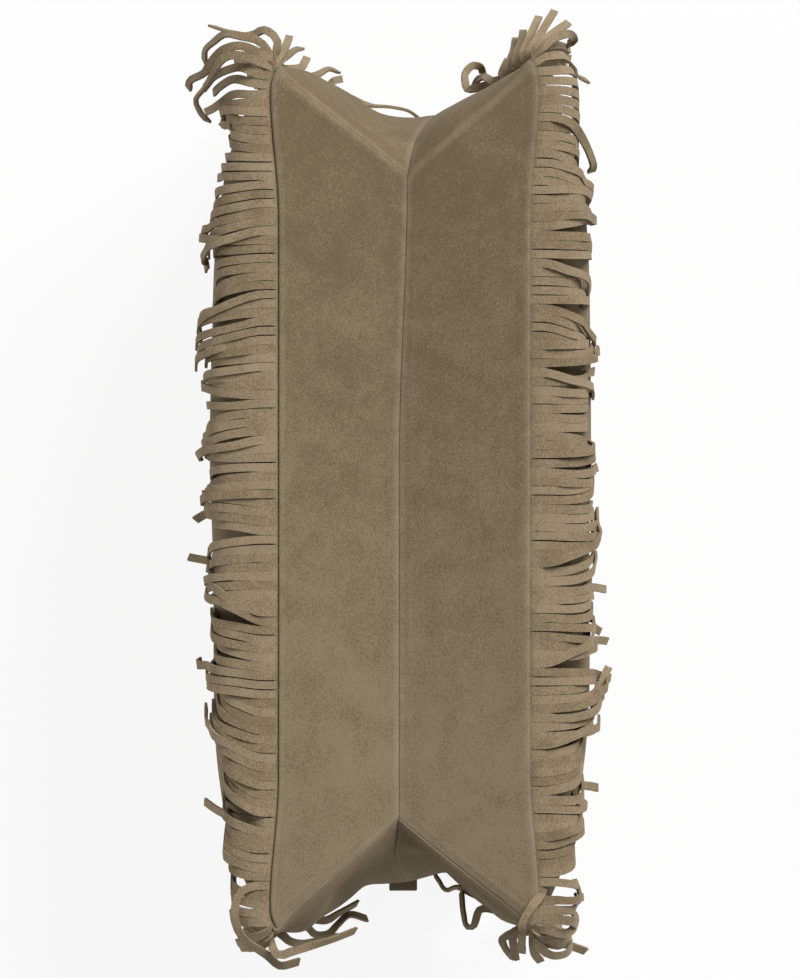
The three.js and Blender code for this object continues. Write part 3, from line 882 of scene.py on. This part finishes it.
def clumps(random, count, spread, most):
    """One value for each strip, shared by a few neighbours that stick together."""
    values = []
    while len(values) < count:
        values += [random.normal(0, spread)] * int(random.integers(2, most))
    return np.array(values[:count])


def strayed(random, way):
    shared, most, own = STRAYING[way]
    return clumps(random, STRIPS, shared, most) + random.normal(0, own, STRIPS)


def sets_in(way, distance):
    return smooth(*SETS_IN[way], distance)


def rolled(face, heading, angle):
    """A strip's upper face, turned about the way the strip heads."""
    return face * np.cos(angle)[:, None] + np.cross(heading, face) * np.sin(angle)[:, None]


def on_base(past):
    """Which strips are sewn along the base, clear of its corners."""
    return past < -CLEAR_OF_CORNER


def strip_ways(side, middle):
    """How each strip goes its own way, one value a strip, and which of two that cross lies on top."""
    x, _, past, end, angle = seam_places(middle)
    random = np.random.default_rng(20 + side)
    bow = strayed(random, "bow") + np.interp(x, *CURVE[side])
    lean = strayed(random, "lean") + LEAN_WAVE[0] * np.sin(middle / LEAN_WAVE[1] + side)
    lean = lean + np.interp(x, *LEAN[side])
    knee = strayed(random, "knee") + np.interp(x, *EARLY[side]) * np.cos(angle)
    flicked = random.random(STRIPS) < np.interp(x, *FLICKED[side])
    flick = np.where(flicked, random.uniform(*FLICK, STRIPS), 0)
    twist = strayed(random, "twist")
    swing = strayed(random, "swing")
    tone = np.clip(random.normal(0, 1, STRIPS), -TONE_MOST, TONE_MOST)
    length = 1 + random.normal(0, LENGTH_SPREAD, STRIPS)
    rank = random.random(STRIPS)
    tips = np.random.default_rng(40 + side)
    curl = np.where(flicked, tips.choice([-1, 1], STRIPS) * tips.uniform(*CURL, STRIPS), 0)
    twist = twist + np.where(flicked, tips.uniform(-CURL_TWIST, CURL_TWIST, STRIPS), 0)
    for place, degrees in STRAYS[side]:
        i = int(np.argmin(np.abs(x - place) + OTHER_STRIP * ~on_base(past)))
        lean[i] = degrees
        rank[i] = ON_TOP
    ways = {"bow": bow, "lean": lean, "knee": knee, "flick": flick, "twist": twist, "swing": swing,
            "curl": curl, "length": length, "past": past, "end": end, "angle": angle}
    return ways, tone, rank


def strip_line(side, strip, root, out, over):
    """The middle line of one strip and the way its upper face looks, at each row."""
    eased = 9
    s = np.arange(0, WHOLE_STRIP + STRIP_STEP / 2, STRIP_STEP)
    over_base = math.cos(strip["angle"])
    fall = mix(np.array(FALL_SIDE), np.array(FALL_BASE), over_base**2)
    fall = np.interp(s * (1 + strip["knee"]), FALL_AT, fall)
    fall = fall - strip["flick"] * sets_in("flick", s)
    fall = np.convolve(np.pad(fall, eased // 2, mode="edge"), np.ones(eased) / eased, mode="valid")
    fall = np.radians(fall)
    from_root = math.degrees(math.atan2(abs(out[0]), abs(out[1])))
    turned = mix(from_root, np.interp(strip["past"], POINT_AT, POINT_TO), sets_in("turn", s))
    turned = turned + strip["swing"] * (1 - over_base) * sets_in("swing", s)
    turned = np.radians(turned + strip["curl"] * over_base * sets_in("curl", s))
    level = np.stack([strip["end"] * np.sin(turned), side * np.cos(turned), 0 * s], axis=-1)
    sideways = np.stack([-level[:, 1], level[:, 0], 0 * s], axis=-1)
    sway = np.tan(np.radians(strip["lean"] + strip["bow"] * sets_in("bow", s))) * sets_in("lean", s)
    sway = sway * (1 - HANG_STRAIGHT * sets_in("hang", s))
    sway = sway * (over_base**2) * (1 if sideways[-1, 0] > 0 else -1)
    sinking = np.outer(np.sin(fall), DOWN)
    heading = unit(level * np.cos(fall)[:, None] + sinking + sideways * sway[:, None])
    steps = heading * STRIP_STEP * strip["length"]
    line = root + np.concatenate([np.zeros((1, 3)), np.cumsum((steps[1:] + steps[:-1]) / 2, axis=0)])
    upper = level * np.sin(fall)[:, None] - np.outer(np.cos(fall), DOWN)
    flat = sets_in("flat", s)[:, None]
    face = unit(over * (1 - flat) + upper * flat)
    face = rolled(face, heading, np.radians(strip["twist"]) * sets_in("twist", s))
    return sampled(STRIP_ROWS, s, line), sampled(STRIP_ROWS, s, face)


def strip_paths(side):
    """The middle line of every strip and the way its upper face looks, at each row, its tone, and the
    seam's run at its root."""
    middle = (np.arange(STRIPS) + 0.5) * PITCH
    point, out, over, run = seam_frame(middle, side)
    ways, tone, rank = strip_ways(side, middle)
    lines = np.zeros((STRIPS, len(STRIP_ROWS), 3))
    faces = np.zeros_like(lines)
    for i in range(STRIPS):
        strip = {way: values[i] for way, values in ways.items()}
        lines[i], faces[i] = strip_line(side, strip, point[i], out[i], over[i])
    stack(lines, faces, np.where(on_base(ways["past"]))[0], rank)
    for end in (RIGHT, LEFT):
        for place, turn, lift, level, seen in LAID[side, end]:
            i = int(np.argmin(np.abs(ways["past"] - place) + OTHER_STRIP * (ways["end"] != end)))
            lines[i], faces[i] = laid_strip(point[i], out[i], over[i], seen, turn, lift, level)
    return lines, unit(faces), tone, run


def laid_strip(root, out, over, seen, turn, lift, level):
    """A strip through places seen from above, sinking as far as its length makes it."""
    points = 90
    halvings = 30
    root_part = 12  # its root is one part in this many of it
    past_root = 12  # and this point lies past it
    eye = np.array(CAMERA_AT)
    start = slump(np.array([root, root + out * BAND_OUTSIDE]))
    away = (HEIGHT + CAMERA_AWAY - start[:, 2:]) / CAMERA_AWAY
    plan = spline(np.vstack([eye + (start[:, :2] - eye) / away, seen]), points)
    share = np.linspace(0, 1, points)
    sunk = (np.clip(share - level, 0, 1) / (1 - level)) ** 2
    least, most = 0, WHOLE_STRIP
    for _ in range(halvings):
        drop = (least + most) / 2
        z = start[0, 2] + (start[1, 2] - start[0, 2]) * np.minimum(1, share * root_part) - drop * sunk
        away = (HEIGHT + CAMERA_AWAY - z[:, None]) / CAMERA_AWAY
        line = np.column_stack([eye + (plan - eye) * away, z])
        length = line_lengths(line, 0)
        least, most = (least, drop) if length[-1] > WHOLE_STRIP else (drop, most)
    line[:, 2] += lift * sets_in("laid_lift", length)
    line = 2 * line - slump(line)
    heading = unit(np.gradient(line, axis=0))
    upper = unit(-DOWN - heading * heading[:, 2:])
    flat = sets_in("laid_flat", length)[:, None]
    face = unit(over * (1 - flat) + upper * flat)
    first, last = heading[past_root], heading[-1]
    bends = np.sign(first[0] * last[1] - first[1] * last[0])
    face = rolled(face, heading, bends * math.radians(turn) * sets_in("laid_turn", length))
    return sampled(STRIP_ROWS, length, line), sampled(STRIP_ROWS, length, face)


def stack(lines, faces, which, rank):
    """Lifts the strips that cross others, so that they lie on them."""
    cell = 0.5
    margin = 60
    half_width = 1.85
    layer = FRINGE_SUEDE + 0.35  # with a little air
    beside = 0.8  # of a row's lift that the rows beside it take on at least
    easing = [0.1, 0.2, 0.4, 0.2, 0.1]
    tops = np.zeros((int(2 * (HALF_LENGTH + margin) / cell), len(STRIP_ROWS)))
    for i in sorted(which, key=lambda i: rank[i]):
        low = ((lines[i, :, 0] - half_width + HALF_LENGTH + margin) / cell).astype(int)
        high = ((lines[i, :, 0] + half_width + HALF_LENGTH + margin) / cell).astype(int) + 1
        lift = np.array([tops[a:b, k].max() for k, (a, b) in enumerate(zip(low, high))])
        lift = np.maximum(lift, np.maximum(np.roll(lift, 1), np.roll(lift, -1)) * beside)
        eased = np.convolve(np.pad(lift, 2, mode="edge"), easing, mode="valid")
        lift = np.maximum(lift, eased) * sets_in("lift", STRIP_ROWS)
        for k, (a, b) in enumerate(zip(low, high)):
            tops[a:b, k] = np.maximum(tops[a:b, k], lift[k] + layer)
        lines[i] += faces[i] * lift[:, None]


def cut_slits(piece, columns, rows, slit_row):
    """Splits a band along every second column of its grid, from one row on."""
    column, row = grid_places(piece, columns, rows)
    a, b = read(piece.data.edges, "vertices", 2, int).T
    slits = (column[a] == column[b]) & (column[a] % 2 == 0) & (np.minimum(row[a], row[b]) >= slit_row)
    slits &= (column[a] > 0) & (column[a] < columns)
    bpy.context.tool_settings.mesh_select_mode = (False, True, False)
    bpy.ops.object.mode_set(mode="EDIT")
    bpy.ops.mesh.select_all(action="DESELECT")
    bpy.ops.object.mode_set(mode="OBJECT")
    piece.data.edges.foreach_set("select", slits)
    bpy.ops.object.mode_set(mode="EDIT")
    bpy.ops.mesh.edge_split(type="EDGE")
    bpy.ops.object.mode_set(mode="OBJECT")


def half_widths(column, row):
    """Half a strip's width at each vertex, less where the slit beside it stands open."""
    random = np.random.default_rng(7)
    slit = random.uniform(*SLIT_WIDTHS, STRIPS + 1) * SLIT_WIDTH
    kind = random.random(STRIPS + 1)
    near = random.uniform(*NEAR_SEAM, STRIPS + 1)
    far = random.uniform(*FAR_FROM_SEAM, STRIPS + 1)
    opens = np.select([kind < OPEN_AT_SEAM, kind < OPEN_AT_SEAM + OPEN_NEAR], [SLIT_FROM, near], far)
    beside = (column + 1) // 2
    opened = smooth(opens[beside], opens[beside] + SLIT_OPENS, STRIP_ROWS[row])
    return (PITCH - slit[beside] * opened) / 2


def fringe(side):
    """A band of suede, slit into strips from just outside its seam, each strip laid as it hangs."""
    word = f"{SIDE_WORDS[side]}_fringe"
    columns = 2 * STRIPS
    rows = len(STRIP_ROWS) - 1
    slit_row = int(np.argmin(np.abs(STRIP_ROWS - SLIT_FROM)))
    piece = new_grid(f"{word}_strips", columns, rows)
    cut_slits(piece, columns, rows, slit_row)
    column, row = grid_places(piece, columns, rows)
    corners = read(piece.data.loops, "vertex_index", 1, int).reshape(-1, 4)
    strip = np.zeros(len(column), int)
    strip[corners] = (column[corners].min(axis=1) // 2)[:, None]
    lines, faces, tone, run = strip_paths(side)
    heading = unit(np.gradient(lines, axis=1))
    faces = unit(faces - (faces * heading).sum(-1, keepdims=True) * heading)
    across = np.cross(heading, faces)
    hand = np.sign((across[:, slit_row + 1] * run).sum(-1))
    offset = (column - 2 * strip - 1) * half_widths(column, row) * hand[strip]
    laid = lines[strip, row] + across[strip, row] * offset[:, None]
    point, out, _, _ = seam_frame(column * PITCH / 2, side)
    band = point + out * STRIP_ROWS[row][:, None]
    points = slump(np.where((row <= slit_row)[:, None], band, laid))
    points[:, 2] = np.maximum(points[:, 2], FRINGE_SUEDE / 2 + FLOOR_GAP)
    lay(piece, points)
    keep_value(piece, "strip_tone", np.where(row <= slit_row, 0, tone[strip]))
    # the strips' cut sides take the darker second material: painted shade
    modify(piece, "SOLIDIFY", thickness=FRINGE_SUEDE * MM, offset=0, material_offset_rim=1)
    bpy.ops.object.shade_smooth_by_angle(angle=math.radians(50))
    finish_piece(piece, [fringe_suede, fringe_edge_shade], [word])


# The strap's route in the plane of the bag's middle, as millimetres along and up
SEWN_X = {RIGHT: 210.5, LEFT: 216.2}
STRAP_END = [(0, 54), (0, 40), (0, 26), (0.7, 16.1), (1, 9.4), (0.7, 2.9), (0, 1.9)]
STRAP_LOOPS = {RIGHT: 0.5, LEFT: 9}  # how far each end's loop stands out
STRAP_MIDDLE = [(169, 1.9), (84, 1.9), (0, 1.9), (-40, 1.9), (-45, 6.9), (-40, 11.9), (0, 11.9), (40, 11.9),
                (45, 16.9), (40, 21.9), (0, 21.9), (-40, 21.9), (-84, 15.8), (-127, 5.7), (-169, 1.9)]
STRAP_CLEAR = 0.3  # it keeps this far from the floor
STRAP_EDGE = 0.7  # bevel along its edges


def strap_end(end):
    """The route of one end, from where it is sewn on down into the mouth."""
    return [(end * (SEWN_X[end] + out * STRAP_LOOPS[end]), z) for out, z in STRAP_END]


def strap():
    """The shoulder strap: two layers sewn flat together, folded on itself inside the mouth."""
    columns = 220
    rows = 6
    line = spline(strap_end(RIGHT) + STRAP_MIDDLE + strap_end(LEFT)[::-1], columns + 1)
    height = np.maximum(line[:, 1], STRAP_THICKNESS / 2 + STRAP_CLEAR)
    line = np.stack([line[:, 0], 0 * height, height], axis=-1)
    piece = new_grid("strap_folded", columns, rows)
    column, row = grid_places(piece, columns, rows)
    points = line[column]
    points[:, 1] += (row / rows - 0.5) * STRAP_WIDTH
    lay(piece, points)
    modify(piece, "SOLIDIFY", thickness=STRAP_THICKNESS * MM, offset=0)
    modify(piece, "BEVEL", width=STRAP_EDGE * MM, segments=2, limit_method="ANGLE")
    bpy.ops.object.shade_smooth_by_angle(angle=math.radians(40))
    finish_piece(piece, [strap_suede], ["shoulder_strap"])


for side in (FRONT, BACK):
    base_half(side)
    panel(side)
    for end in (RIGHT, LEFT):
        gusset_half(side, end)
    fringe(side)
strap()
